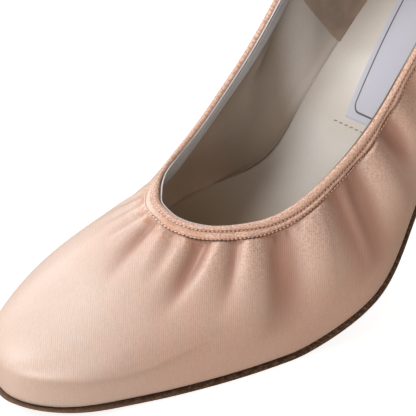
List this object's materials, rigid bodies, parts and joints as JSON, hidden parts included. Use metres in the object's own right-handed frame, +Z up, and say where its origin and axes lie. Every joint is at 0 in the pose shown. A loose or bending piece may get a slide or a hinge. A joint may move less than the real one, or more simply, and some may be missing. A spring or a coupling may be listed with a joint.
{
  "type": "ballroom dance shoe",
  "caption": "Closed-toe ballroom court shoe in peach satin: gathered elastic topline, thin flexible sole with a deep arch and a slim flared heel.",
  "frame": {"origin": "on the floor under the middle of the shoe's box", "axes": "+X from the heel to the toe, +Y to the wearer's left, which is this left shoe's outer side, +Z up"},
  "size_m": [0.247, 0.0802, 0.1366],
  "materials": {
    "satin": "peach satin weave with a soft sheen",
    "heel_satin": "the same satin, stretched over the heel block",
    "sole_suede": "dark brown edge, napped suede underside",
    "sock_lining": "pale soft sock lining",
    "tip_rubber": "hard dark top piece"
  },
  "bodies": {
    "root": {"outsole": "sole_suede", "upper": "satin", "insole": "sock_lining", "heel": "heel_satin", "heel_tip": "tip_rubber"}
  },
  "joints": []
}
